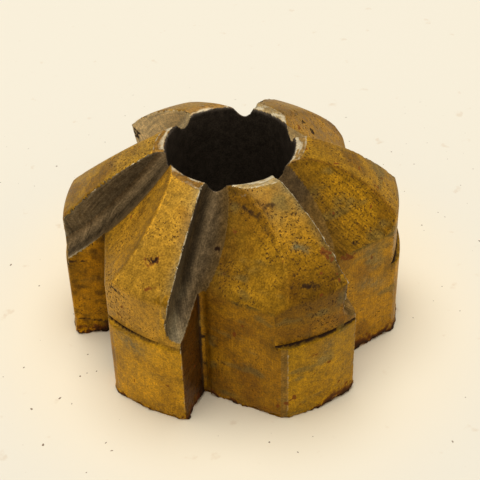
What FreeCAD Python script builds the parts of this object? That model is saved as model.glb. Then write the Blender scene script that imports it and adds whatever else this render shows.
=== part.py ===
import FreeCAD, Part
import math
import os

import Sketcher
from FreeCAD import Vector

# A solid shell-type face mill with six teeth and a conical nose, in millimetres.
# Origin: centre of the bore on the back face. +Z runs along the bore to the nose.
# Seen from the nose the cutter turns counter-clockwise, and each rake face looks that way.
# Inside the body the first tooth's lower cutting corner is on +X. The body is turned about Z
# as a whole, so that the drive slot lies along the part's X axis.

SIZES = {
    # the whole cutter
    "cutter_radius": 34.925,
    "height": 43.5,
    "bore_radius": 12.7,
    "tooth_count": 6,
    # outline of the turned blank
    "rim_width": 3.0,
    "nose_height": 13.5,
    "nose_arc_radius": 56.5,
    "band_height": 19.5,
    "band_step": 0.18,
    "mouth_chamfer": 0.4,
    "back_chamfer": 0.8,
    # relief behind each cutting edge, turned about an axis set off from the bore
    "relief_offset": 1.9,
    "relief_sweep": 50,
    # gullet between two teeth
    "rake_lean": 6.6,
    "heel_wall_distance": 26.1,
    "heel_wall_turn": 69.5,
    "heel_bevel_inset": 0.55,
    "heel_bevel_angle": 27.3,
    "root_groove_radius": 1.05,
    "root_undercut": 0.3,
    # sloping facet on top of each heel
    "facet_drop": 1.8,
    "facet_angle": 43,
    "facet_start": 4.2,
    # gash ground along the nose in front of each tooth
    "wheel_radius": 70,
    "wheel_width": 8.5,
    "wheel_corner_radius": 2.2,
    "wheel_side_angle": 37,
    "notch_depth": 2.4,
    "gash_end_rise": 0.9,
    "gash_lag": 2.16,
    "gash_yaw": 3.3,
    "gash_tilt": 8.8,
    # drive slot across the back face
    "slot_width": 9.53,
    "slot_depth": 5.56,
    "slot_angle": 15.75,
}

# How far a cutting outline stands clear of the blank.
CLEAR = 3
SAME_POINT = 1e-6

document = FreeCAD.newDocument("face_mill")
sheet = document.addObject("Spreadsheet::Sheet", "Sizes")
for row, (alias, value) in enumerate(SIZES.items(), start=1):
    sheet.set(f"A{row}", alias)
    sheet.set(f"B{row}", str(value))
    sheet.setAlias(f"B{row}", alias)
document.recompute()


def in_sheet(formula):
    """Turns each $alias of a formula into the sheet's cell."""
    return formula.replace("$", "Sizes.")


def measure(formula):
    return float(sheet.evalExpression(in_sheet(formula)))


def new_sketch(body, name, role, place=None):
    """A sketch on the origin plane with this role. place is a formula for its offset there."""
    sketch = body.newObject("Sketcher::SketchObject", name)
    plane = next(item for item in body.Origin.OriginFeatures if item.Role == role)
    sketch.AttachmentSupport = (plane, [""])
    sketch.MapMode = "FlatFace"
    if place:
        sketch.setExpression("AttachmentOffset", in_sheet(place))
    return sketch


def constrain(sketch, formula, kind, *where):
    index = sketch.addConstraint(Sketcher.Constraint(kind, *where, measure(formula)))
    sketch.setExpression(f"Constraints[{index}]", in_sheet(formula))


def end_at(edge, point):
    """Which end of a sketch edge is at a point: 1 for its start, 2 for its end."""
    return 1 if edge.StartPoint.distanceToPoint(point) < SAME_POINT else 2


def arc_between(start, end, radius):
    """The short arc that bulges to the right of the way from start to end."""
    chord = end - start
    bulge = radius - math.sqrt(radius**2 - chord.Length**2 / 4)
    right = Vector(chord.y, -chord.x, 0).normalize()
    return Part.Arc(start, (start + end) / 2 + right * bulge, end)


def draw_outline(sketch, corners, arc_edge=None, arc_radius=None):
    """A closed outline through corners, which are pairs of formulas and run counter-clockwise.

    One edge may be an arc, which bulges outwards.
    """
    points = [Vector(measure(across), measure(up), 0) for across, up in corners]
    following = points[1:] + points[:1]
    for number, (start, end) in enumerate(zip(points, following)):
        if number == arc_edge:
            edge = arc_between(start, end, measure(arc_radius))
        else:
            edge = Part.LineSegment(start, end)
        sketch.addGeometry(edge)
    edges = sketch.Geometry
    for number, (across, up) in enumerate(corners):
        end = end_at(edges[number], points[number])
        constrain(sketch, across, "DistanceX", -1, 1, number, end)
        constrain(sketch, up, "DistanceY", -1, 1, number, end)
        after = (number + 1) % len(edges)
        this_end = end_at(edges[number], following[number])
        next_end = end_at(edges[after], points[after])
        sketch.addConstraint(Sketcher.Constraint("Coincident", number, this_end, after, next_end))
    if arc_edge is not None:
        constrain(sketch, arc_radius, "Radius", arc_edge)


def add_feature(body, kind, name, sketch, **settings):
    """A sketched feature on the body. A setting given as text is a formula."""
    feature = body.newObject(f"PartDesign::{kind}", name)
    feature.Profile = sketch
    for key, setting in settings.items():
        if isinstance(setting, str) and "$" in setting:
            feature.setExpression(key, in_sheet(setting))
        else:
            setattr(feature, key, setting)
    document.recompute()
    return feature


body = document.addObject("PartDesign::Body", "CutterBody")
body.Label = "cutter_body"

# Outline of the form from the band's top to the nose, shared by the blank and the relief.
FORM_RADIUS = "$cutter_radius - $band_step"
SHOULDER = "$height - $nose_height"
RIM_RADIUS = "$bore_radius + $rim_width"
ABOVE = f"$height + {CLEAR}"
OUTSIDE = f"$cutter_radius + {CLEAR}"


def add_blank():
    """The turned blank: a lower band, a slightly smaller upper part and a rounded conical nose."""
    sketch = new_sketch(body, "BlankOutline", "XZ_Plane")
    corners = [
        ("$bore_radius + $back_chamfer", "0"),
        ("$cutter_radius", "0"),
        ("$cutter_radius", "$band_height"),
        (FORM_RADIUS, "$band_height"),
        (FORM_RADIUS, SHOULDER),
        (RIM_RADIUS, "$height"),
        ("$bore_radius + $mouth_chamfer", "$height"),
        ("$bore_radius", "$height - $mouth_chamfer"),
        ("$bore_radius", "$back_chamfer"),
    ]
    draw_outline(sketch, corners, arc_edge=4, arc_radius="$nose_arc_radius")
    return add_feature(body, "Revolution", "Blank", sketch, ReferenceAxis=(sketch, ["V_Axis"]), Angle=360)


def add_relief():
    """Turns the form down behind the cutting edge, about an axis ahead of the bore's."""
    place = (
        "create(<<placement>>; create(<<vector>>; 0; 0; -$relief_offset);"
        " create(<<rotation>>; create(<<vector>>; 0; 0; 1); 0))"
    )
    sketch = new_sketch(body, "ReliefOutline", "XZ_Plane", place)
    corners = [
        (FORM_RADIUS, "$band_height"),
        (FORM_RADIUS, SHOULDER),
        (RIM_RADIUS, "$height"),
        (RIM_RADIUS, ABOVE),
        (OUTSIDE, ABOVE),
        (OUTSIDE, "$band_height"),
    ]
    draw_outline(sketch, corners, arc_edge=1, arc_radius="$nose_arc_radius")
    return add_feature(
        body, "Groove", "Relief", sketch,
        ReferenceAxis=(sketch, ["V_Axis"]), Angle="$relief_sweep", Reversed=True,
    )


# The gullet's far side is the next tooth's heel wall, a plane parallel to the bore. Its
# distance from the bore is heel_wall_distance. WALL_TURN is how far its normal lies
# clockwise of +X. A point of that plane is given by how far it is along the plane.
WALL_TURN = "($heel_wall_turn - 360 / $tooth_count)"
WALL_LENGTH = "sqrt($cutter_radius ^ 2 - $heel_wall_distance ^ 2)"


def from_wall(out, along):
    """The sketch formulas of a point at a distance out from the bore and along the heel wall."""
    across = f"({out}) * cos({WALL_TURN}) + ({along}) * sin({WALL_TURN})"
    up = f"({along}) * cos({WALL_TURN}) - ({out}) * sin({WALL_TURN})"
    return across, up


# Where the rake wall meets the heel wall, measured along the heel wall.
ROOT_ALONG = (
    f"(($cutter_radius - $heel_wall_distance * cos({WALL_TURN})) * tan($rake_lean)"
    f" + $heel_wall_distance * sin({WALL_TURN}))"
    f" / (cos({WALL_TURN}) + sin({WALL_TURN}) * tan($rake_lean))"
)


def add_gullet():
    """The straight gullet: a nearly radial rake wall, and the next tooth's bevelled heel wall."""
    sketch = new_sketch(body, "GulletOutline", "XY_Plane")
    wall_end = f"{WALL_LENGTH} - $heel_bevel_inset"
    bevel_out = f"$heel_wall_distance - {2 * CLEAR} * sin($heel_bevel_angle)"
    bevel_along = f"{wall_end} + {2 * CLEAR} * cos($heel_bevel_angle)"
    corners = [
        (OUTSIDE, f"-{CLEAR} * tan($rake_lean)"),
        from_wall("$heel_wall_distance", ROOT_ALONG),
        from_wall("$heel_wall_distance", wall_end),
        from_wall(bevel_out, bevel_along),
        from_wall(OUTSIDE, bevel_along),
    ]
    draw_outline(sketch, corners)
    return add_feature(body, "Pocket", "Gullet", sketch, Type="ThroughAll", Reversed=True)


def add_root_groove():
    """The small round groove down the gullet's root, which undercuts the heel wall."""
    sketch = new_sketch(body, "RootOutline", "XY_Plane")
    root_across, root_up = from_wall("$heel_wall_distance", ROOT_ALONG)
    turn = f"({WALL_TURN} - $rake_lean)"
    step = f"(($root_groove_radius * (1 + sin({turn})) - $root_undercut) / cos({turn}))"
    across = f"{root_across} + {step} * cos($rake_lean) + $root_groove_radius * sin($rake_lean)"
    up = f"{root_up} - {step} * sin($rake_lean) + $root_groove_radius * cos($rake_lean)"
    centre = Vector(measure(across), measure(up), 0)
    sketch.addGeometry(Part.Circle(centre, Vector(0, 0, 1), measure("$root_groove_radius")))
    constrain(sketch, across, "DistanceX", -1, 1, 0, 3)
    constrain(sketch, up, "DistanceY", -1, 1, 0, 3)
    constrain(sketch, "$root_groove_radius", "Radius", 0)
    return add_feature(body, "Pocket", "RootGroove", sketch, Type="ThroughAll", Reversed=True)


def add_facet():
    """The flat facet that slopes from the top of the heel wall up to the nose."""
    turn = f"(90 - {WALL_TURN})"
    place = (
        f"create(<<placement>>; create(<<vector>>; $facet_start * sin({turn}); 0; $facet_start * cos({turn}));"
        f" create(<<rotation>>; create(<<vector>>; 0; 1; 0); {turn}))"
    )
    sketch = new_sketch(body, "FacetOutline", "YZ_Plane", place)
    foot = f"({SHOULDER} - $facet_drop)"
    corners = [
        (f"-($heel_wall_distance + {CLEAR})", f"{foot} - {CLEAR} / tan($facet_angle)"),
        (f"({ABOVE} - {foot}) * tan($facet_angle) - $heel_wall_distance", ABOVE),
        (f"-($heel_wall_distance + {CLEAR})", ABOVE),
    ]
    draw_outline(sketch, corners)
    return add_feature(body, "Pocket", "Facet", sketch, Type="ThroughAll", Reversed=True)


def add_gash():
    """The gash: the mark of a round-cornered wheel that faces the rake and sinks along the nose."""
    reach = f"({FORM_RADIUS} - $bore_radius)"
    fall = "($height - $notch_depth - $band_height - $gash_end_rise)"
    lift = f"sqrt($wheel_radius ^ 2 / ({reach} ^ 2 + {fall} ^ 2) - 0.25)"
    across = f"(({FORM_RADIUS} + $bore_radius) / 2 + {fall} * {lift})"
    up = f"(($height - $notch_depth + $band_height + $gash_end_rise) / 2 + {reach} * {lift})"
    ahead = (
        f"(tan($gash_yaw) * ({across} - ({FORM_RADIUS}))"
        f" + tan($gash_tilt) * ({up} - ({SHOULDER})) - $gash_lag)"
    )
    place = (
        f"create(<<placement>>; create(<<vector>>; {ahead}; {up}; {across});"
        " create(<<rotation>>; create(<<vector>>; 0; 1; 0); $gash_yaw)"
        " * create(<<rotation>>; create(<<vector>>; 0; 0; 1); -$gash_tilt))"
    )
    sketch = new_sketch(body, "WheelOutline", "YZ_Plane", place)
    side_start = "$wheel_corner_radius * (1 + sin($wheel_side_angle))"
    side_top = "$wheel_radius - $wheel_corner_radius * (1 - cos($wheel_side_angle))"
    corners = [
        ("0", "$wheel_radius / 2"),
        ("$wheel_width", "$wheel_radius / 2"),
        ("$wheel_width", f"{side_top} - ($wheel_width - {side_start}) * tan($wheel_side_angle)"),
        (side_start, side_top),
        ("0", "$wheel_radius - $wheel_corner_radius"),
    ]
    draw_outline(sketch, corners, arc_edge=3, arc_radius="$wheel_corner_radius")
    return add_feature(body, "Groove", "Gash", sketch, ReferenceAxis=(sketch, ["H_Axis"]), Angle=360)


def repeat_round_bore(features):
    pattern = body.newObject("PartDesign::PolarPattern", "Teeth")
    pattern.Originals = features
    bore_axis = next(item for item in body.Origin.OriginFeatures if item.Role == "Z_Axis")
    pattern.Axis = (bore_axis, [""])
    pattern.Angle = 360
    pattern.setExpression("Occurrences", in_sheet("$tooth_count"))
    body.Tip = pattern
    document.recompute()


def add_drive_slot():
    """The drive slot, straight across the back face through two gullets."""
    place = (
        "create(<<placement>>; create(<<vector>>; 0; 0; 0);"
        " create(<<rotation>>; create(<<vector>>; 0; 0; 1); $slot_angle))"
    )
    sketch = new_sketch(body, "SlotOutline", "XY_Plane", place)
    corners = [
        (f"-({OUTSIDE})", "-$slot_width / 2"),
        (OUTSIDE, "-$slot_width / 2"),
        (OUTSIDE, "$slot_width / 2"),
        (f"-({OUTSIDE})", "$slot_width / 2"),
    ]
    draw_outline(sketch, corners)
    return add_feature(body, "Pocket", "DriveSlot", sketch, Length="$slot_depth", Reversed=True)


volume = add_blank().Shape.Volume
cuts = []
for add_cut in (add_relief, add_gullet, add_root_groove, add_facet, add_gash):
    cut = add_cut()
    assert cut.Shape.Volume < volume, f"{cut.Name} removed nothing"
    volume = cut.Shape.Volume
    cuts.append(cut)
repeat_round_bore(cuts)
assert body.Shape.Volume < volume, "the pattern removed nothing"
volume = body.Shape.Volume
assert add_drive_slot().Shape.Volume < volume, "the drive slot removed nothing"
body.setExpression("Placement.Rotation.Angle", in_sheet("-$slot_angle"))
document.recompute()

for item in document.Objects:
    assert not {"Invalid", "Error"} & set(item.State), f"{item.Name} failed: {item.State}"
shape = body.Shape
assert not shape.isNull() and shape.isValid(), "cutter_body has no valid shape"
assert len(shape.Solids) == 1, "cutter_body came apart"

os.makedirs("parts", exist_ok=True)
shape.exportStep(f"parts/{body.Label}.step")
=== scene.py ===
import math

import bmesh
import bpy
import numpy as np
from mathutils import Matrix, Vector
from mathutils.bvhtree import BVHTree
from mathutils.kdtree import KDTree


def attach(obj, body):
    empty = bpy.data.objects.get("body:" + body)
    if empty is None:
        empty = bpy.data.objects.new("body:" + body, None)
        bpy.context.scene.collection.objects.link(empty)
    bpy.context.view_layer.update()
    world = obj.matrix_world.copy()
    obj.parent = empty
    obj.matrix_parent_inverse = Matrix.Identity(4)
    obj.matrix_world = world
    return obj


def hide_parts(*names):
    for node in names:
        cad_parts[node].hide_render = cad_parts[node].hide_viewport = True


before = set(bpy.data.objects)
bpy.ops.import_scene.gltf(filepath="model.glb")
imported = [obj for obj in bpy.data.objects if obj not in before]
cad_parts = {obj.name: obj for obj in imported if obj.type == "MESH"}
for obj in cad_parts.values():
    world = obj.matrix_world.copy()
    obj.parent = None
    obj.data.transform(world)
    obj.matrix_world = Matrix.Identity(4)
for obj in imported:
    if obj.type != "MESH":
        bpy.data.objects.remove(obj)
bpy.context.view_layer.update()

# A worn, gold-coated face mill. Lengths are millimetres, except in the camera, the materials
# and the surroundings, where they are metres. The visible body is a fine remesh of the packed
# one, with worn edges, chips and pits cut into it. Its colours come from values worked out for
# each point of the shape, from noise, and from the placed marks in PITS and STAINS.

MM = 0.001
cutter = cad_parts["cutter_body"]

TEETH = 6
C, D, E, F, A, B = range(TEETH)
TOOTH_STEP = 360 / TEETH
# The teeth are numbered round +Z. Tooth 0 has its cutting corner at this angle.
FIRST_TOOTH = -15.75
FORM_RADIUS = 34.745
RIM_RADIUS = 15.7
HEIGHT = 43.5
SHOULDER = 30.0
BAND_TOP = 19.5
LEDGE_OFFSET = 0.12
NOSE_ARC = 56.5
RELIEF_OFFSET = 1.9
SLOT_DEPTH = 5.6
SLOT_HALF_WIDTH = 4.8
# The walls' directions, in degrees round from the cutting corner, and two slopes.
RAKE_FACING = 23.4
HEEL_FACING = 50.5
BEVEL_FACING = 17.8
GASH_FACING = 33.3
FACET_SLOPE = 0.682
GASH_SLOPE = -0.15

VOXEL = 0.3
EDGE_SPACING = 0.2
SHARPEST_SMOOTH_BEND = 15
CAMERA_AZIMUTH = math.radians(-28.39)


# ---------------------------------------------------------------- camera


def make_camera():
    """A short telephoto view from above. Its values were fitted to the photo outside this script."""
    elevation = math.radians(43.38)
    distance = 0.27305
    back = Vector((0, -math.cos(elevation), math.sin(elevation)))
    turn = Matrix.Rotation(CAMERA_AZIMUTH, 3, "Z")
    level = back.to_track_quat("Z", "Y").to_matrix()
    nudge = (
        Matrix.Rotation(math.radians(-0.328), 3, "Y")
        @ Matrix.Rotation(math.radians(2.960), 3, "X")
        @ Matrix.Rotation(math.radians(-1.710), 3, "Z")
    )
    data = bpy.data.cameras.new("camera")
    data.lens = 92.88
    data.sensor_width = 36
    data.clip_start = 0.02
    data.clip_end = 20
    camera = bpy.data.objects.new("camera", data)
    facing = (turn @ level @ nudge).to_4x4()
    camera.matrix_world = Matrix.Translation(turn @ back * distance) @ facing
    bpy.context.scene.collection.objects.link(camera)
    bpy.context.scene.camera = camera


# ---------------------------------------------------------------- noise on numpy arrays


def lattice(cell, seed):
    """A repeatable value from 0 to 1 for each whole-number cell."""
    x, y, z = (cell[..., axis].astype(np.int64) for axis in range(3))
    word = (x * 374761393 + y * 668265263 + z * 1442695041 + seed * 1274126177) & 0xFFFFFFFF
    word = ((word ^ (word >> 13)) * 1274126177) & 0xFFFFFFFF
    word = ((word ^ (word >> 16)) * 2246822519) & 0xFFFFFFFF
    return ((word >> 8) & 0xFFFF) / 65535


def smooth_noise(points, size, seed):
    """Value noise from 0 to 1 with features of this size."""
    scaled = points / size
    cell = np.floor(scaled)
    part = scaled - cell
    part = part * part * (3 - 2 * part)
    total = np.zeros(len(points))
    for corner in range(8):
        step = np.array([corner & 1, corner >> 1 & 1, corner >> 2 & 1])
        weight = np.prod(np.where(step, part, 1 - part), axis=1)
        total += weight * lattice(cell + step, seed)
    return total


def rough_noise(points, size, seed, layers=3):
    """Layers of noise, each half the size and strength of the one before, from 0 to 1."""
    total, weight, whole = 0, 1, 0
    for layer in range(layers):
        total = total + weight * smooth_noise(points, size / 2**layer, seed + 17 * layer)
        whole += weight
        weight /= 2
    return total / whole


def ramp(values, low, high):
    """0 below low, 1 above high, smooth between."""
    part = np.clip((values - low) / (high - low), 0, 1)
    return part * part * (3 - 2 * part)


def near(distance, reach):
    """1 at no distance, fading to nothing beyond the reach."""
    return np.exp(-((distance / reach) ** 2))


# ---------------------------------------------------------------- the shape, region by region

BACK, SLOT, BORE, RIM, BAND, FORM, RAKE, HEEL, BEVEL, ROOT, FACET, GASH_FACE, GASH = range(13)


def polar(points):
    """Each point's distance from the axis, and its angle in degrees."""
    x, y = points[:, 0], points[:, 1]
    return np.hypot(x, y), np.degrees(np.arctan2(y, x))


def turns_past(angle):
    """How many tooth steps an angle is past tooth 0's cutting corner."""
    return (angle - FIRST_TOOTH) / TOOTH_STEP


def nose_radius(height):
    """The turned form's radius at each height, before relief."""
    start = np.array([FORM_RADIUS, SHOULDER])
    end = np.array([RIM_RADIUS, HEIGHT])
    chord = end - start
    half = np.linalg.norm(chord) / 2
    inward = np.array([-chord[1], chord[0]]) / (2 * half)
    centre = (start + end) / 2 + inward * math.sqrt(NOSE_ARC**2 - half**2)
    rise = np.clip(height, SHOULDER, HEIGHT) - centre[1]
    return centre[0] + np.sqrt(NOSE_ARC**2 - rise**2)


def depth_under_form(points):
    """How far each point lies inside its tooth's relieved form."""
    radius, angle = polar(points)
    tooth = np.ceil(turns_past(angle))
    behind = np.radians(angle - FIRST_TOOTH - tooth * TOOTH_STEP)
    from_axis = np.hypot(radius * np.cos(behind), radius * np.sin(behind) - RELIEF_OFFSET)
    return nose_radius(points[:, 2]) - from_axis


def sort_faces(centres, normals):
    """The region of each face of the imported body, from its place and its normal."""
    radius, _ = polar(centres)
    height = centres[:, 2]
    lift = normals[:, 2]
    outward = (centres[:, 0] * normals[:, 0] + centres[:, 1] * normals[:, 1]) / np.maximum(radius, 1e-6)
    facing = (polar(normals)[1] - FIRST_TOOTH) % TOOTH_STEP
    upright = np.abs(lift) < 0.02
    flat_top = lift > 0.995
    in_slot = (height > 0.01) & (height < SLOT_DEPTH) & (np.abs(centres[:, 1]) < SLOT_HALF_WIDTH)
    rules = [
        (in_slot & ((lift < -0.9) | (np.abs(normals[:, 1]) > 0.99)), SLOT),
        ((lift < -0.5) & (height < 0.9), BACK),
        ((radius < 13.6) & (outward < -0.5), BORE),
        (flat_top & (height > 40), RIM),
        (flat_top, BAND),
        (upright & (radius > 34.85) & (outward > 0.99) & (height < BAND_TOP), BAND),
        (upright & (np.abs(facing - RAKE_FACING) < 1.5), RAKE),
        (upright & (np.abs(facing - HEEL_FACING) < 1.0) & (height < 32), HEEL),
        (upright & (np.abs(facing - BEVEL_FACING) < 1.0) & (radius > 33), BEVEL),
        ((np.abs(lift - FACET_SLOPE) < 0.01) & (np.abs(facing - HEEL_FACING) < 1.5), FACET),
        ((height > BAND_TOP - 0.01) & (np.abs(depth_under_form(centres)) < 0.1), FORM),
        ((np.abs(lift - GASH_SLOPE) < 0.03) & (np.abs(facing - GASH_FACING) < 3), GASH_FACE),
        (upright & (radius < 30) & (height < 28), ROOT),
    ]
    region = np.full(len(centres), GASH)
    left = np.ones(len(centres), bool)
    for rule, name in rules:
        region[left & rule] = name
        left &= ~rule
    return region


def packed_body():
    """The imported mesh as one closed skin, with its triangles' regions and its sharp edges."""
    mesh = bmesh.new()
    mesh.from_mesh(cutter.data)
    bmesh.ops.remove_doubles(mesh, verts=mesh.verts, dist=2e-6)
    bmesh.ops.triangulate(mesh, faces=mesh.faces)
    mesh.normal_update()
    mesh.faces.ensure_lookup_table()
    normals = np.array([face.normal for face in mesh.faces])
    centres = np.array([face.calc_center_median() for face in mesh.faces]) / MM
    region = sort_faces(centres, normals)
    return mesh, region, normals


def edge_points(mesh, region, wanted):
    """Points spaced along the sharp edges that wanted() accepts. Regions come in number order."""
    found = []
    for edge in mesh.edges:
        if len(edge.link_faces) != 2:
            continue
        sides = sorted(region[face.index] for face in edge.link_faces)
        bend = math.degrees(edge.calc_face_angle_signed(0))
        if abs(bend) < SHARPEST_SMOOTH_BEND or not wanted(bend, *sides):
            continue
        start, end = (np.array(vert.co) / MM for vert in edge.verts)
        steps = max(1, int(np.linalg.norm(end - start) / EDGE_SPACING))
        found.append(start + (end - start) * (np.arange(steps + 1) / steps)[:, None])
    return np.concatenate(found)


def distance_to(points, targets):
    """Each point's distance to the nearest target."""
    tree = KDTree(len(targets))
    for index, target in enumerate(targets):
        tree.insert(target, index)
    tree.balance()
    return np.array([tree.find(point)[2] for point in points])


def cut_edge(bend, one, other):
    return bend > 0 and one in (RIM, BAND, FORM) and other in (RAKE, GASH_FACE, GASH)


def outer_edge(bend, one, other):
    return bend > 0


def inner_edge(bend, one, other):
    return bend < 0


def gash_edge(bend, one, other):
    return bend > 0 and other == GASH and one in (FORM, FACET)


def facet_edge(bend, one, other):
    return bend > 0 and FACET in (one, other) and GASH not in (one, other)


def smoothed(places, edges, weight, rounds):
    """Places pulled towards their neighbours' average, by weight, this many times."""
    count = len(places)
    first, second = edges[:, 0], edges[:, 1]
    links = np.bincount(first, minlength=count) + np.bincount(second, minlength=count)
    for _ in range(rounds):
        average = np.empty_like(places)
        for axis in range(3):
            values = places[:, axis]
            total = np.bincount(first, values[second], count)
            total = total + np.bincount(second, values[first], count)
            average[:, axis] = total / links
        places = places + (average - places) * weight[:, None]
    return places


def build_skin():
    """The remeshed, worn body, with each point's region, normal and distances to edges."""
    packed, region, face_normals = packed_body()
    source = bpy.data.meshes.new("packed_skin")
    packed.to_mesh(source)
    helper = bpy.data.objects.new("packed_skin", source)
    bpy.context.scene.collection.objects.link(helper)
    remesh = helper.modifiers.new("remesh", "REMESH")
    remesh.mode = "VOXEL"
    remesh.voxel_size = VOXEL * MM
    depsgraph = bpy.context.evaluated_depsgraph_get()
    remeshed = helper.evaluated_get(depsgraph)
    skin_mesh = bpy.data.meshes.new_from_object(remeshed, depsgraph=depsgraph)
    bpy.data.objects.remove(helper)
    skin_mesh.name = "cutter_skin"
    skin_mesh.materials.clear()

    count = len(skin_mesh.vertices)
    flat = np.empty(count * 3, np.float32)
    skin_mesh.vertices.foreach_get("co", flat)
    places = flat.reshape(-1, 3).astype(float)
    pairs = np.empty(len(skin_mesh.edges) * 2, np.int32)
    skin_mesh.edges.foreach_get("vertices", pairs)
    pairs = pairs.reshape(-1, 2)

    tree = BVHTree.FromBMesh(packed)
    nearest = [tree.find_nearest(place) for place in places]
    places = np.array([hit[0] for hit in nearest]) / MM
    face = np.array([hit[2] for hit in nearest])
    kind = region[face]
    normal = face_normals[face]

    wanted = {
        "cut": cut_edge,
        "outer": outer_edge,
        "inner": inner_edge,
        "facet": facet_edge,
        "gash": gash_edge,
    }
    to_edge = {
        name: distance_to(places, edge_points(packed, region, rule)) for name, rule in wanted.items()
    }
    packed.free()
    worn = wear_down(places, pairs, kind, normal, to_edge)
    skin_mesh.vertices.foreach_set("co", (worn * MM).astype(np.float32).ravel())
    skin_mesh.update()
    skin_mesh.polygons.foreach_set("use_smooth", np.ones(len(skin_mesh.polygons), bool))
    return skin_mesh, worn, kind, normal, to_edge


def tooth_of(places, kind):
    """Which tooth each point belongs to. Its gash and rake wall lie ahead of its cutting edge."""
    turns = turns_past(polar(places)[1])
    ahead = np.isin(kind, (GASH, GASH_FACE, RAKE, ROOT, BACK, SLOT, BORE))
    return np.where(ahead, np.floor(turns + 0.2), np.ceil(turns)).astype(int) % TEETH


def crust_on(places, kind, to_edge):
    """Rust crust round the foot: thick on tooth C, thinner on B's far corner, thin elsewhere."""
    tooth = tooth_of(places, kind)
    heavy = np.where(tooth == C, 1.0, np.where(tooth == B, ramp(14 - to_edge["cut"], 0, 9), 0.3))
    heavy = np.maximum(heavy, (kind == RAKE) * 0.9)
    crumbs = rough_noise(places, 1.1, 157)
    rise = near(places[:, 2], 0.7 + 3.4 * heavy * crumbs)
    return rise * ramp(crumbs, 0.55 - 0.35 * heavy, 0.75 - 0.3 * heavy) * (kind != BACK)


def wear_down(places, pairs, kind, normal, to_edge):
    """Rounds the edges, softens the shoulder, chips the cutting edges and sinks the pits."""
    height = places[:, 2]
    shoulder = np.where(kind == FORM, near(height - SHOULDER, 1.8), 0)
    by_facet = near(to_edge["facet"], 0.35) * np.isin(kind, (FACET, FORM, HEEL))
    soft = np.clip(shoulder + by_facet, 0, 1) * ramp(to_edge["cut"], 0.3, 1.5)
    worn = smoothed(places, pairs, soft, 6)
    worn = smoothed(worn, pairs, near(to_edge["outer"], 0.3) * 0.7, 2)

    inward = np.zeros(len(places))
    wander = rough_noise(places, 3, 5)
    off_ledge = height - BAND_TOP - LEDGE_OFFSET + (wander - 0.5) * 0.2
    inward += np.isin(kind, (BAND, FORM)) * near(off_ledge, 0.22) * (0.07 + 0.14 * wander)
    chipped = ramp(rough_noise(places, 1.4, 21), 0.5, 0.78)
    inward += near(to_edge["cut"], 0.45) * (0.02 + 0.45 * chipped)
    bitten = ramp(rough_noise(places, 5.0, 23), 0.55, 0.75)
    inward += near(to_edge["cut"], 0.7) * 0.35 * bitten * (height > BAND_TOP)
    knocked = ramp(rough_noise(places, 1.9, 33), 0.6, 0.85)
    inward += near(to_edge["outer"], 0.4) * (0.03 + 0.22 * knocked)
    foot = near(height, 0.9) * (kind != BACK) * near(to_edge["outer"], 1.0)
    inward += foot * 0.6 * ramp(rough_noise(places, 2.2, 41), 0.45, 0.8)
    crust = crust_on(places, kind, to_edge) * rough_noise(places, 0.7, 61)
    inward -= np.where(kind == RAKE, 1.0, 0.55) * crust
    pocked = ramp(smooth_noise(places, 0.8, 55), 0.88, 0.97) * (kind != BORE)
    inward += 0.08 * pocked
    for _, start, end, width, _ in PITS:
        inward += 0.12 * near(distance_from(places, start, end), width * 0.7)
    return worn - normal * inward[:, None]


def distance_from(places, start, end):
    """Each point's distance from the line between two places."""
    start, end = np.array(start), np.array(end)
    along = end - start
    length = max(along @ along, 1e-9)
    share = np.clip((places - start) @ along / length, 0, 1)
    return np.linalg.norm(places - start - share[:, None] * along, axis=1)


# Marks on the surface: what each is, where it starts and ends, how wide and how strong.
# Most of these places were picked as pixels in the photo, turned into points by a separate
# script, and then kept or adjusted. The rules for this file allow no table made by another
# program, so this is a departure from them, and report.md names it. Only wear_down and
# add_marks read the two lists.
PITS = [
    ("grime_and_shade", (-25.3, -14.1, 35.0), (-24.6, -14.6, 35.3), 0.7, 0.85),
    ("grime_and_shade", (-12.7, -16.7, 33.9), (-12.5, -16.9, 34.0), 0.55, 0.9),
    ("grime_and_shade", (-17.9, -19.7, 16.4), (-17.9, -19.7, 15.9), 0.7, 0.62),
    ("grime_and_shade", (-17.9, -19.7, 8.6), (-17.9, -19.7, 8.4), 0.4, 0.6),
    ("grime_and_shade", (19.7, 4.3, 39.1), (20.0, 4.5, 38.9), 0.5, 1.0),
    ("grime_and_shade", (20.8, 2.5, 37.1), (21.3, 2.9, 37.0), 0.6, 0.9),
    ("grime_and_shade", (13.6, -24.2, 29.6), (14.4, -24.1, 29.1), 0.4, 0.9),
]
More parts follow.
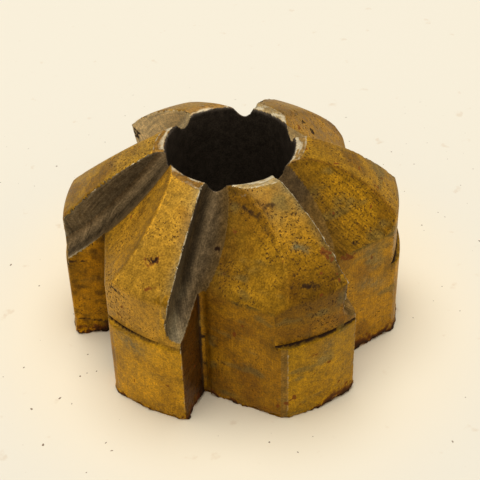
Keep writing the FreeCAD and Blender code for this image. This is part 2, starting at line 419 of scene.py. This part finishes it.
STAINS = [
    ("rust", (-25.5, -14.0, 34.9), (-24.4, -14.7, 35.3), 1.0, 0.8),
    ("grime_and_shade", (-32.2, -10.4, 28.8), (-31.2, -13.5, 28.0), 0.3, 0.75),
    ("rust", (-28.2, -17.2, 31.3), (-26.5, -18.5, 32.1), 0.36, 0.7),
    ("rust", (-31.8, -11.8, 22.4), (-31.5, -12.3, 22.0), 0.4, 0.7),
    ("grime_and_shade", (-6.5, -15.2, 41.2), (-4.9, -18.8, 40.4), 0.9, 0.42),
    ("grime_and_shade", (-4.9, -18.8, 40.4), (-1.6, -18.8, 41.6), 1.1, 0.42),
    ("bare_and_highlight", (-5.4, -14.6, 42.6), (-5.9, -14.2, 42.4), 0.8, 0.3),
    ("smear", (-0.9, -26.8, 36.8), (0.6, -27.5, 36.1), 0.9, 0.9),
    ("grime_and_shade", (-4.5, -31.6, 32.2), (0.0, -33.0, 31.4), 0.9, 0.5),
    ("grime_and_shade", (-13.8, -25.9, 27.6), (-9.5, -30.3, 28.5), 0.5, 0.45),
    ("rust", (-9.0, -17.6, 37.6), (-8.8, -18.0, 37.2), 1.2, 0.45),
    ("rust", (3.7, -28.9, 35.2), (4.4, -29.8, 34.0), 0.8, 1.1),
    ("grime_and_shade", (3.7, -28.9, 35.0), (4.2, -29.5, 34.4), 0.5, 0.5),
    ("rust", (10.6, -25.3, 27.8), (13.1, -25.1, 27.0), 0.7, 0.9),
    ("smear", (17.3, -24.6, 26.6), (19.0, -24.3, 21.3), 1.3, 0.5),
    ("smear", (16.1, -24.8, 18.0), (21.0, -24.5, 15.5), 1.6, 0.5),
    ("smear", (6.0, -31.0, 24.0), (2.0, -29.0, 27.5), 1.5, 0.55),
    ("smear", (0.0, -34.0, 14.0), (1.5, -34.0, 17.0), 1.6, 0.5),
    ("grime_and_shade", (-33.2, 9.3, 20.6), (-30.0, 8.1, 20.2), 0.5, 0.5),
    ("grime_and_shade", (-32.7, 9.1, 4.4), (-27.9, 7.1, 3.0), 0.35, 0.6),
    ("grime_and_shade", (-5.8, 32.8, 28.9), (-5.8, 32.9, 27.4), 0.9, 0.9),
    ("smear", (-32.1, -13.8, 17.6), (-30.4, -17.0, 16.4), 1.8, 0.6),
]


# ---------------------------------------------------------------- colours, worn metal, dirt and painted light


def colour(red, green, blue):
    """A screen colour, 0 to 255, as linear light."""
    return tuple((value / 255) ** 2.2 for value in (red, green, blue))


GOLD = colour(181, 134, 28)
DEEP_GOLD = colour(165, 119, 22)
BROWN = colour(134, 91, 15)
DARK_BROWN = colour(94, 61, 20)
OLIVE = colour(128, 104, 52)
STEEL = colour(168, 142, 96)
PALE_STEEL_AND_HIGHLIGHT = colour(214, 200, 168)
CHARCOAL = colour(84, 74, 60)
GREY = colour(116, 98, 72)
BEIGE = colour(190, 164, 116)
BORE_BLACK = colour(74, 66, 58)
DULL_STEEL = colour(112, 98, 72)
LIP_BROWN = colour(112, 84, 38)
WORN_END = colour(176, 160, 126)
SOOT = colour(82, 68, 50)
SCRATCHED_STEEL = colour(150, 136, 106)
RUBBED_GREY = colour(138, 118, 74)
CREASE_BROWN = colour(96, 56, 14)
LOW_BROWN = colour(98, 68, 18)
UNDER_FACET = colour(84, 74, 38)
GASH_SIDE_BROWN = colour(92, 66, 24)
AGED_BROWN = colour(104, 66, 14)
STREAK_OLIVE = colour(104, 92, 52)
RAKE_SOOT = colour(46, 32, 16)
SMEAR_GREY = colour(112, 104, 72)
SPECK_BROWN = colour(56, 34, 14)
RUST_BROWN = colour(112, 58, 20)
GRIME_AND_SHADE_BLACK = colour(44, 28, 15)
FLECK_TAN = colour(190, 150, 100)
CRUMB_BROWN = colour(92, 62, 34)
BOARD_PALE = (0.80, 0.765, 0.67)
BOARD_BOUNCE_WARM = (0.90, 0.815, 0.645)

# These colours were adjusted against mean colours measured in the photo.
REGION_COLOUR = {
    BACK: BROWN,
    SLOT: OLIVE,
    BORE: BORE_BLACK,
    RIM: STEEL,
    BAND: GOLD,
    FORM: GOLD,
    RAKE: BROWN,
    HEEL: DEEP_GOLD,
    BEVEL: DEEP_GOLD,
    ROOT: colour(150, 106, 18),
    FACET: DEEP_GOLD,
    GASH_FACE: CHARCOAL,
    GASH: GREY,
}
TOOTH_COLOUR = {
    (FORM, B): colour(156, 112, 22),
    (FORM, C): colour(167, 123, 30),
    (FORM, F): colour(171, 129, 42),
    (BAND, B): colour(158, 118, 20),
    (FACET, B): colour(162, 118, 28),
    (FACET, C): colour(160, 116, 24),
    (HEEL, B): colour(148, 105, 18),
    (FORM, A): colour(180, 134, 44),
    (FACET, A): colour(176, 128, 32),
    (HEEL, A): colour(198, 148, 44),
    (FORM, D): colour(158, 118, 34),
    (FORM, E): colour(162, 122, 40),
    (BEVEL, B): colour(130, 98, 40),
    (RAKE, A): DARK_BROWN,
    (RAKE, F): colour(172, 122, 14),
    (RIM, B): colour(160, 136, 90),
    (RIM, D): colour(160, 134, 88),
    (RIM, F): colour(140, 102, 42),
    (RIM, A): colour(138, 100, 42),
    (RIM, E): colour(150, 114, 60),
    (RIM, C): colour(148, 116, 64),
    (GASH_FACE, E): BEIGE,
    (GASH, E): colour(152, 132, 94),
    (GASH_FACE, B): colour(132, 102, 54),
    (GASH_FACE, F): colour(116, 103, 82),
    (GASH, B): colour(134, 103, 54),
    (GASH, C): colour(198, 170, 116),
    (GASH_FACE, C): colour(186, 158, 106),
}


COATED = (FORM, BAND, HEEL, BEVEL, ROOT, FACET, RAKE)
RIM_POLISH = {C: 0.3, D: 0.32, E: 0.16, F: 0.22, A: 0.2, B: 0.38}


class Skin:
    """Every point of the skin: its place, region, tooth, distances to edges and shared noises."""

    def __init__(self, places, kind, normal, to_edge):
        self.places = places
        self.kind = kind
        self.normal = normal
        self.to_edge = to_edge
        self.radius, self.angle = polar(places)
        self.height = places[:, 2]
        self.tooth = tooth_of(places, kind)
        self.patches = rough_noise(places, 9, 71)
        self.clouds = rough_noise(places, 3.2, 83)
        self.coated = np.isin(kind, COATED)


def mixed(tint, other, share):
    return tint + (np.array(other) - tint) * share[:, None]


def lit(tint, amount):
    """The tint made lighter by this share of itself, or darker where the amount is negative."""
    return tint * (1 + amount)[:, None]


def base_tint(skin):
    """Each region's and tooth's own colour, with patches in the coating."""
    tint = np.zeros((len(skin.places), 3))
    for region, base in REGION_COLOUR.items():
        tint[skin.kind == region] = base
    for (region, owner), base in TOOTH_COLOUR.items():
        tint[(skin.kind == region) & (skin.tooth == owner)] = base
    return lit(tint, skin.coated * ((skin.patches - 0.5) * 0.55 + (skin.clouds - 0.5) * 0.5))


def sweep_across(normal, tooth):
    """How far round the gash's curve each point lies, from its face to its far edge."""
    lead = np.radians(FIRST_TOOTH + tooth * TOOTH_STEP)
    return (1 + normal[:, 0] * np.sin(lead) - normal[:, 1] * np.cos(lead)) / 1.6


def paint_gash(tint, skin):
    """The ground gash: dark by the bore, paler outwards, painted light and shade across its curve."""
    kind, tooth, radius = skin.kind, skin.tooth, skin.radius
    across = sweep_across(skin.normal, tooth)
    blotch = rough_noise(skin.places * (1, 1, 0.6), 5, 131)
    paler = (kind == GASH_FACE) * (tooth != E) * ramp(radius, 15, 33) * (0.2 + 0.75 * blotch)
    tint = mixed(tint, DULL_STEEL, paler)
    # Painted light: highlight streaks and a shadow line, and instead on tooth A a shade and a sheen.
    highlight_streak = (near(across - 0.08, 0.05) + 0.6 * near(across - 0.24, 0.04)) * (0.3 + 0.75 * blotch)
    highlight_streak = highlight_streak * (tooth != A)
    shadow = near(across - 0.42, 0.2) * (0.75 - 0.25 * blotch) * (tooth != A)
    shade = near(across - 0.2, 0.26) * (tooth == A)
    sheen = near(across - 0.75, 0.2) * (tooth == A) * (0.25 + 0.8 * blotch)
    groove = kind == GASH
    tint = lit(tint, groove * (0.6 * highlight_streak - 0.7 * shadow - 0.72 * shade + 0.45 * sheen))
    lip = groove * near(skin.to_edge["gash"], 2.4) * (0.4 + 0.9 * blotch)
    tint = mixed(tint, LIP_BROWN, np.clip(lip, 0, 1) * 0.8)
    outer_end = groove * (across > 0.8) * ramp(radius, 27.5, 31.5) * (tooth == F)
    tint = mixed(tint, WORN_END, outer_end * 0.7)
    sooted = np.isin(kind, (GASH, GASH_FACE)) * (tooth == B) * ramp(20.5 - radius, 0, 4)
    tint = mixed(tint, SOOT, sooted * 0.8)
    scratched = groove * (tooth == A) * ramp(radius, 24, 33) * ramp(blotch, 0.4, 0.65)
    return mixed(tint, SCRATCHED_STEEL, scratched * 0.6)


def paint_form(tint, skin):
    """The form: rubbed grey by the cutting edge, browner low on B, painted light and shade on A and B.
    """
    tooth, height, clouds, to_edge = skin.tooth, skin.height, skin.clouds, skin.to_edge
    form = skin.kind == FORM
    rubbed = form * near(to_edge["cut"], 1.5) * (0.35 + 0.65 * ramp(clouds, 0.3, 0.6))
    rubbed = rubbed * np.isin(tooth, (A, B, D))
    rubbed = rubbed + form * (tooth == B) * ramp(height, 36, 42) * 0.35
    tint = mixed(tint, RUBBED_GREY, np.clip(rubbed * 0.75, 0, 1))
    foot = form * (tooth == B) * near(height - 29, 4.5) * ramp(skin.patches, 0.35, 0.6)
    tint = lit(tint, -0.4 * foot)
    crease = near(to_edge["facet"], 0.3) * np.isin(skin.kind, (FORM, FACET)) * (height > 30.5)
    # A painted highlight along tooth A's facet crease.
    tint = lit(tint, crease * ramp(clouds, 0.35, 0.6) * np.where(tooth == A, 0.9, 0))
    tint = mixed(tint, CREASE_BROWN, crease * (tooth == C) * (0.4 + 0.6 * clouds))
    # Painted shade on tooth B's form beside its facet.
    tint = lit(tint, -0.3 * near(to_edge["facet"], 0.8) * form * (tooth == B))
    # Low on tooth B the form is darker and browner: partly brown patches, partly painted shade.
    lower = form * (tooth == B) * near(height - 28.8, 5.2) * ramp(to_edge["facet"], 0.2, 1.2)
    return mixed(tint, LOW_BROWN, lower * (0.45 + 0.5 * clouds))


def paint_corners(tint, skin):
    """Painted shade round the facets and by the root, and darker brown beside the gashes on B and C."""
    kind, clouds, to_edge = skin.kind, skin.clouds, skin.to_edge
    under = near(to_edge["facet"], 0.9) * (kind == HEEL) * (skin.height > 25)
    under = under * (0.3 + 0.7 * ramp(clouds, 0.4, 0.6))
    tint = mixed(tint, UNDER_FACET, under * 0.8)
    tint = lit(tint, -0.25 * near(to_edge["facet"] - 0.9, 0.7) * (kind == FACET))
    # Darker brown on the form and facets beside the gashes on teeth B and C.
    beside = near(to_edge["gash"], 3.6) * np.isin(kind, (FORM, FACET)) * np.isin(skin.tooth, (B, C))
    tint = mixed(tint, GASH_SIDE_BROWN, beside * (0.45 + 0.5 * clouds))
    # Painted shade in the corners by the root, on the heel and rake walls.
    root_corner_shade = near(to_edge["inner"], 2.2) * np.isin(kind, (HEEL, RAKE)) * (skin.height < 29)
    return lit(tint, -0.5 * root_corner_shade)


def age_coating(tint, skin):
    """Browned and smeared patches in the coating, and soot on tooth F's rake wall."""
    browned = ramp(rough_noise(skin.places, 5.5, 163), 0.5, 0.72) * skin.coated
    tint = mixed(tint, AGED_BROWN, browned * np.where(skin.kind == BAND, 0.5, 1) * 0.5)
    streaky = rough_noise(skin.places * (0.7, 0.7, 1.6), 3.4, 167)
    share = 0.3 + 0.7 * np.isin(skin.tooth, (B, C))
    tint = mixed(tint, STREAK_OLIVE, ramp(streaky, 0.55, 0.74) * skin.coated * share * 0.55)
    sooty = (skin.kind == RAKE) * (skin.tooth == F)
    return mixed(tint, RAKE_SOOT, sooty * ramp(rough_noise(skin.places, 2.2, 173), 0.52, 0.7) * 0.6)


def bare_metal_and_highlight(skin):
    """Where the coating is gone, on the edges and rims; and a painted highlight on the band's top edge.
    """
    kind, tooth, height, to_edge = skin.kind, skin.tooth, skin.height, skin.to_edge
    patchy = rough_noise(skin.places, 1.3, 101)
    steady = np.where(tooth == B, 0.75, np.where(tooth == A, 0.5, 0.3))
    bare_and_highlight = near(to_edge["cut"], 0.32) * (steady + (1 - steady) * ramp(patchy, 0.4, 0.7)) * 0.85
    bare_and_highlight = bare_and_highlight * (kind != RAKE) * (height > BAND_TOP - 1)
    corner = near(to_edge["outer"], 0.28) * (kind == BAND) * (height > 2) * (height < 18)
    bare_and_highlight = np.maximum(bare_and_highlight, corner * (0.36 + 0.14 * skin.clouds))
    rim_edge = near(to_edge["outer"], 0.3) * (kind == RIM) * ramp(patchy, 0.35, 0.6)
    bare_and_highlight = np.maximum(bare_and_highlight, rim_edge * 0.45)
    mouth = near(height - HEIGHT + 0.2, 0.25) * 0.3 * ramp(patchy, 0.4, 0.6)
    bare_and_highlight = np.where(kind == BORE, mouth, bare_and_highlight)
    turned = np.column_stack([skin.radius, tooth * 9.0, skin.angle * 0.05])
    rings = rough_noise(turned, 0.42, 181, layers=2)
    polished = np.choose(tooth, [RIM_POLISH[owner] for owner in range(TEETH)])
    polished = polished + 0.18 * near(skin.radius - 13.3, 0.5)
    bare_and_highlight = np.maximum(bare_and_highlight, (kind == RIM) * polished * (0.45 + 0.9 * ramp(rings, 0.35, 0.65)))
    # A thin paler line just under the ledge: a painted highlight on the band's top edge.
    ledge_lip = (kind == BAND) * near(height - BAND_TOP + 0.4, 0.2)
    bare_and_highlight = np.maximum(bare_and_highlight, ledge_lip * ramp(patchy, 0.35, 0.6) * 0.16)
    return np.maximum(bare_and_highlight, (kind == BEVEL) * near(to_edge["outer"], 0.25) * 0.34)


def grime_and_ledge_shade(skin, crust):
    """Darker inner corners and foot, painted shade along the ledge step, and dirt in the crust."""
    kind, height, to_edge = skin.kind, skin.height, skin.to_edge
    grime_and_shade = near(to_edge["inner"], 0.4) * (0.4 + 0.5 * skin.clouds) * (kind != GASH)
    grime_and_shade = grime_and_shade * (np.abs(height - BAND_TOP) > 1)
    # The dark line along the ledge is painted shade for the step's shadow, fading towards A's cutting
    # edge.
    ledge = np.isin(kind, (BAND, FORM)) * near(height - BAND_TOP - LEDGE_OFFSET, 0.27)
    fading = np.where(skin.tooth == A, 0.6 + 0.4 * ramp(to_edge["cut"], 3, 12), 1)
    grime_and_shade = np.maximum(grime_and_shade, ledge * (0.72 + 0.3 * skin.clouds) * fading)
    grime_and_shade = np.maximum(grime_and_shade, crust * 0.62)
    grime_and_shade = np.maximum(grime_and_shade, near(height, 0.35) * 0.45 * (kind != BACK))
    low_rake = (kind == RAKE) * ramp(6 - height, 0, 6) * near(to_edge["inner"], 3.0)
    return np.maximum(grime_and_shade, low_rake * 0.8)


def rust_spots(skin, crust):
    spots = ramp(rough_noise(skin.places, 1.5, 113), 0.7, 0.82)
    return np.maximum(spots * ramp(skin.patches, 0.48, 0.66) * skin.coated, crust * 0.95)


def speckling(skin):
    """How thickly dark specks lie on the coating."""
    specked = ramp(skin.patches * 0.5 + skin.clouds * 0.5, 0.36, 0.56)
    specked = specked * np.isin(skin.kind, (FORM, FACET, RAKE))
    specked = np.maximum(specked, ramp(skin.clouds, 0.45, 0.7) * (skin.kind == HEEL) * 0.75)
    return np.maximum(specked, 0.3 * skin.coated)


def add_marks(wear_and_light, places):
    """Puts the pits and stains into the values for worn metal, dirt, rust and smears."""
    wobble = 0.35 + 1.3 * rough_noise(places, 1.1, 149)
    broken = 0.3 + 0.9 * ramp(rough_noise(places, 0.55, 151), 0.3, 0.65)
    for what, start, end, width, strength in PITS + STAINS:
        mark = near(distance_from(places, start, end) * wobble, width) * strength * broken
        wear_and_light[what] = np.maximum(wear_and_light[what], mark)


def machining_lines(skin):
    """Coordinates across and along each region's machining lines, and the lines' strength."""
    kind, normal, places = skin.kind, skin.normal, skin.places
    height, radius = skin.height, skin.radius
    along_wall = np.isin(kind, (RAKE, HEEL, BEVEL, ROOT, SLOT, BAND, FACET))
    around = radius * np.radians(skin.angle)
    flat = np.maximum(np.hypot(normal[:, 0], normal[:, 1]), 1e-3)
    across = (places[:, 1] * normal[:, 0] - places[:, 0] * normal[:, 1]) / flat
    grain = np.zeros((len(places), 3))
    grain[:, 0] = np.where(along_wall, across, radius)
    grain[:, 1] = np.where(along_wall, height, around)
    grain[kind == BAND, 0] = around[kind == BAND]
    slanted = (kind == FACET) & (skin.tooth == C)
    grain[slanted, 0] = (across * 0.8 + height * 0.6)[slanted]
    grain[slanted, 1] = (height * 0.8 - across * 0.6)[slanted]
    in_gash = np.isin(kind, (GASH, GASH_FACE))
    lead = np.radians(FIRST_TOOTH + skin.tooth * TOOTH_STEP)
    beside_lead = places[:, 1] * np.cos(lead) - places[:, 0] * np.sin(lead)
    grain[in_gash, 0] = (beside_lead + 0.6 * depth_under_form(places))[in_gash]
    grain[in_gash, 1] = radius[in_gash]
    grain[:, 2] = kind * 7.0
    lined = np.where(kind == BAND, 0.4, 0.65)
    lined = np.where(in_gash, 1.3 + 1.1 * ramp(radius, 21, 29), lined)
    return grain, np.where(slanted, 1.7, lined)


def paint(skin_mesh, skin):
    """Writes the colour and the worn metal, dirt, rust and painted light values onto the mesh's
    vertices.
    """
    tint = base_tint(skin)
    for step in (paint_gash, paint_form, paint_corners, age_coating):
        tint = step(tint, skin)
    crust = crust_on(skin.places, skin.kind, skin.to_edge)
    wear_and_light = {
        "bare_and_highlight": bare_metal_and_highlight(skin),
        "grime_and_shade": grime_and_ledge_shade(skin, crust),
        "rust": rust_spots(skin, crust),
        "smear": np.zeros(len(skin.places)),
    }
    add_marks(wear_and_light, skin.places)
    tint = np.clip(mixed(tint, SMEAR_GREY, wear_and_light.pop("smear")), 0, 1)
    write_values(skin_mesh, "tint", "FLOAT_COLOR", np.column_stack([tint, np.ones(len(tint))]))
    for name, values in {**wear_and_light, "specked": speckling(skin)}.items():
        write_values(skin_mesh, name, "FLOAT", np.clip(values, 0, 1))
    grain, lined = machining_lines(skin)
    write_values(skin_mesh, "grain", "FLOAT_VECTOR", grain)
    write_values(skin_mesh, "lined", "FLOAT", lined)


def write_values(mesh, name, kind, values):
    attribute = mesh.attributes.new(name, kind, "POINT")
    field = {"FLOAT": "value", "FLOAT_COLOR": "color", "FLOAT_VECTOR": "vector"}[kind]
    attribute.data.foreach_set(field, np.ascontiguousarray(values, np.float32).ravel())


# ---------------------------------------------------------------- materials


class Nodes:
    """A small builder for a material's node tree."""

    def __init__(self, name):
        self.material = bpy.data.materials.new(name)
        self.material.use_nodes = True
        self.tree = self.material.node_tree
        self.tree.nodes.clear()
        self.shader = self.tree.nodes.new("ShaderNodeBsdfPrincipled")
        output = self.tree.nodes.new("ShaderNodeOutputMaterial")
        self.link(self.shader.outputs[0], output.inputs["Surface"])

    def link(self, source, socket):
        self.tree.links.new(source, socket)

    def put(self, value, socket):
        if isinstance(value, bpy.types.NodeSocket):
            self.link(value, socket)
        else:
            socket.default_value = value

    def attribute(self, name, output="Fac"):
        node = self.tree.nodes.new("ShaderNodeAttribute")
        node.attribute_name = name
        return node.outputs[output]

    def object_place(self):
        return self.tree.nodes.new("ShaderNodeTexCoord").outputs["Object"]

    def stretched(self, vector, scale):
        node = self.tree.nodes.new("ShaderNodeMapping")
        self.put(vector, node.inputs["Vector"])
        node.inputs["Scale"].default_value = scale
        return node.outputs[0]

    def noise(self, vector, scale, detail=3, roughness=0.55):
        node = self.tree.nodes.new("ShaderNodeTexNoise")
        self.put(vector, node.inputs["Vector"])
        node.inputs["Scale"].default_value = scale
        node.inputs["Detail"].default_value = detail
        node.inputs["Roughness"].default_value = roughness
        return node.outputs["Fac"]

    def math(self, operation, one, other=0.0):
        node = self.tree.nodes.new("ShaderNodeMath")
        node.operation = operation
        self.put(one, node.inputs[0])
        self.put(other, node.inputs[1])
        return node.outputs[0]

    def span(self, value, low, high, to_low=0.0, to_high=1.0):
        node = self.tree.nodes.new("ShaderNodeMapRange")
        node.interpolation_type = "SMOOTHSTEP"
        self.put(value, node.inputs["Value"])
        node.inputs["From Min"].default_value = low
        node.inputs["From Max"].default_value = high
        node.inputs["To Min"].default_value = to_low
        node.inputs["To Max"].default_value = to_high
        return node.outputs["Result"]

    def mix(self, share, one, other, blend="MIX"):
        node = self.tree.nodes.new("ShaderNodeMix")
        node.data_type = "RGBA"
        node.blend_type = blend
        self.put(share, node.inputs["Factor"])
        self.put(one, node.inputs[6])
        self.put(other, node.inputs[7])
        return node.outputs[2]

    def scaled(self, base, factor):
        """A colour multiplied by a number."""
        node = self.tree.nodes.new("ShaderNodeVectorMath")
        node.operation = "SCALE"
        self.put(base, node.inputs[0])
        self.put(factor, node.inputs["Scale"])
        return node.outputs[0]

    def length(self, vector):
        node = self.tree.nodes.new("ShaderNodeVectorMath")
        node.operation = "LENGTH"
        self.put(vector, node.inputs[0])
        return node.outputs["Value"]

    def bump(self, height, distance, strength=1.0, under=None):
        node = self.tree.nodes.new("ShaderNodeBump")
        node.inputs["Distance"].default_value = distance
        node.inputs["Strength"].default_value = strength
        self.put(height, node.inputs["Height"])
        if under is not None:
            self.put(under, node.inputs["Normal"])
        return node.outputs[0]


def coated_steel():
    """Worn gold coating over steel: worn through, dirt, rust and painted light where the mesh's values
    say.
    """
    make = Nodes("coated_tool_steel")
    place = make.object_place()
    mottle = make.noise(place, 750, detail=4)
    grit = make.noise(place, 3000, detail=2)
    grain = make.stretched(make.attribute("grain", "Vector"), (2.8, 0.14, 1.0))
    lines = make.noise(grain, 1.0, detail=3)

    coarse = make.span(mottle, 0.25, 0.75, 0.72, 1.24)
    factor = make.math("MULTIPLY", coarse, make.span(grit, 0.25, 0.75, 0.72, 1.26))
    contrast = make.math("MULTIPLY", make.math("SUBTRACT", lines, 0.5), make.attribute("lined"))
    factor = make.math("MULTIPLY", factor, make.math("ADD", contrast, 1.0))
    base = make.scaled(make.attribute("tint", "Color"), factor)

    dots = make.noise(place, 2300, detail=1.5, roughness=0.5)
    reach = make.span(make.attribute("specked"), 0.0, 1.0, 0.74, 0.58)
    speck = make.span(make.math("SUBTRACT", dots, reach), 0.0, 0.06)
    base = make.mix(make.math("MULTIPLY", speck, 0.8), base, (*SPECK_BROWN, 1))

    # Uncoated metal, and the painted highlight on the band's top edge.
    ragged = make.math("SUBTRACT", make.attribute("bare_and_highlight"), make.math("MULTIPLY", mottle, 0.45))
    bare_and_highlight = make.span(ragged, 0.0, 0.3)
    steel = make.scaled(PALE_STEEL_AND_HIGHLIGHT, make.span(grit, 0.2, 0.8, 0.66, 1.1))
    base = make.mix(make.math("MULTIPLY", bare_and_highlight, 0.9), base, steel)
    ragged = make.math("SUBTRACT", make.attribute("rust"), make.math("MULTIPLY", grit, 0.4))
    rusty = make.span(ragged, 0.0, 0.4)
    base = make.mix(make.math("MULTIPLY", rusty, 0.85), base, (*RUST_BROWN, 1))
    # Dirt, and painted shade along the ledge step.
    ragged = make.math("SUBTRACT", make.attribute("grime_and_shade"), make.math("MULTIPLY", mottle, 0.3))
    grime_and_shade_share = make.span(ragged, 0.0, 0.5)
    base = make.mix(grime_and_shade_share, base, (*GRIME_AND_SHADE_BLACK, 1))
    make.put(base, make.shader.inputs["Base Color"])

    spoiled_and_shaded = make.math("MAXIMUM", make.math("MAXIMUM", rusty, grime_and_shade_share), speck)
    unspoiled_and_unshaded = make.math("SUBTRACT", 1.0, spoiled_and_shaded)
    make.put(make.math("MULTIPLY", unspoiled_and_unshaded, 0.5), make.shader.inputs["Metallic"])
    smooth = make.span(mottle, 0.3, 0.7, 0.42, 0.56)
    rough = make.math("ADD", smooth, make.math("MULTIPLY", spoiled_and_shaded, 0.3))
    make.put(rough, make.shader.inputs["Roughness"])
    make.shader.inputs["Specular IOR Level"].default_value = 0.15
    relief = make.bump(lines, 0.00004, 0.6)
    relief = make.bump(mottle, 0.00008, 0.7, relief)
    relief = make.bump(grit, 0.00003, 0.6, relief)
    make.put(relief, make.shader.inputs["Normal"])
    return make.material


def pale_paper():
    """Pale board with flecks and a few crumbs of rust, painted warmer near the object as reflected
    light.
    """
    make = Nodes("pale_board")
    place = make.object_place()
    fleck = make.span(make.noise(place, 190, detail=3), 0.66, 0.75)
    out = make.length(place)
    # Painted reflected light: the board is tinted warmer within a few centimetres of the object.
    bounce_warmth = make.span(out, 0.036, 0.066, 1.0, 0.0)
    board = make.mix(bounce_warmth, (*BOARD_PALE, 1), (*BOARD_BOUNCE_WARM, 1))
    base = make.mix(make.math("MULTIPLY", fleck, 0.2), board, (*FLECK_TAN, 1))
    crumbs = make.span(make.noise(place, 620, detail=1), 0.755, 0.775)
    strewn = make.math("MULTIPLY", crumbs, make.span(out, 0.05, 0.1, 0.85, 0.0))
    base = make.mix(strewn, base, (*CRUMB_BROWN, 1))
    make.put(base, make.shader.inputs["Base Color"])
    make.shader.inputs["Roughness"].default_value = 0.9
    make.shader.inputs["Specular IOR Level"].default_value = 0.1
    return make.material


# ---------------------------------------------------------------- surroundings


def make_floor():
    data = bpy.data.meshes.new("floor")
    half = 3.0
    corners = [(-half, -half, 0), (half, -half, 0), (half, half, 0), (-half, half, 0)]
    data.from_pydata(corners, [], [(0, 1, 2, 3)])
    floor = bpy.data.objects.new("floor", data)
    data.materials.append(pale_paper())
    bpy.context.scene.collection.objects.link(floor)


def area_light(name, place, target, size, power, tone):
    data = bpy.data.lights.new(name, "AREA")
    data.shape = "DISK"
    data.size = size
    data.energy = power
    data.color = tone
    light = bpy.data.objects.new(name, data)
    light.location = place
    light.rotation_mode = "QUATERNION"
    light.rotation_quaternion = (Vector(place) - Vector(target)).to_track_quat("Z", "Y")
    bpy.context.scene.collection.objects.link(light)


def make_lights():
    world = bpy.data.worlds.new("surroundings")
    world.use_nodes = True
    background = world.node_tree.nodes["Background"]
    background.inputs["Color"].default_value = (1.0, 0.925, 0.78, 1)
    background.inputs["Strength"].default_value = 0.58
    bpy.context.scene.world = world
    turn = Matrix.Rotation(CAMERA_AZIMUTH, 3, "Z")
    overhead = turn @ Vector((-0.05, 0.10, 1.1))
    area_light("overhead", overhead, (0, 0, 0), size=0.95, power=8.7, tone=(1.0, 0.99, 0.98))


make_camera()
skin_mesh, worn, kind, normal, to_edge = build_skin()
paint(skin_mesh, Skin(worn, kind, normal, to_edge))
skin_mesh.materials.append(coated_steel())
skin = bpy.data.objects.new("cutter_skin", skin_mesh)
bpy.context.scene.collection.objects.link(skin)
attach(skin, "root")
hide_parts("cutter_body")
make_floor()
make_lights()
bpy.context.scene.view_settings.view_transform = "Standard"
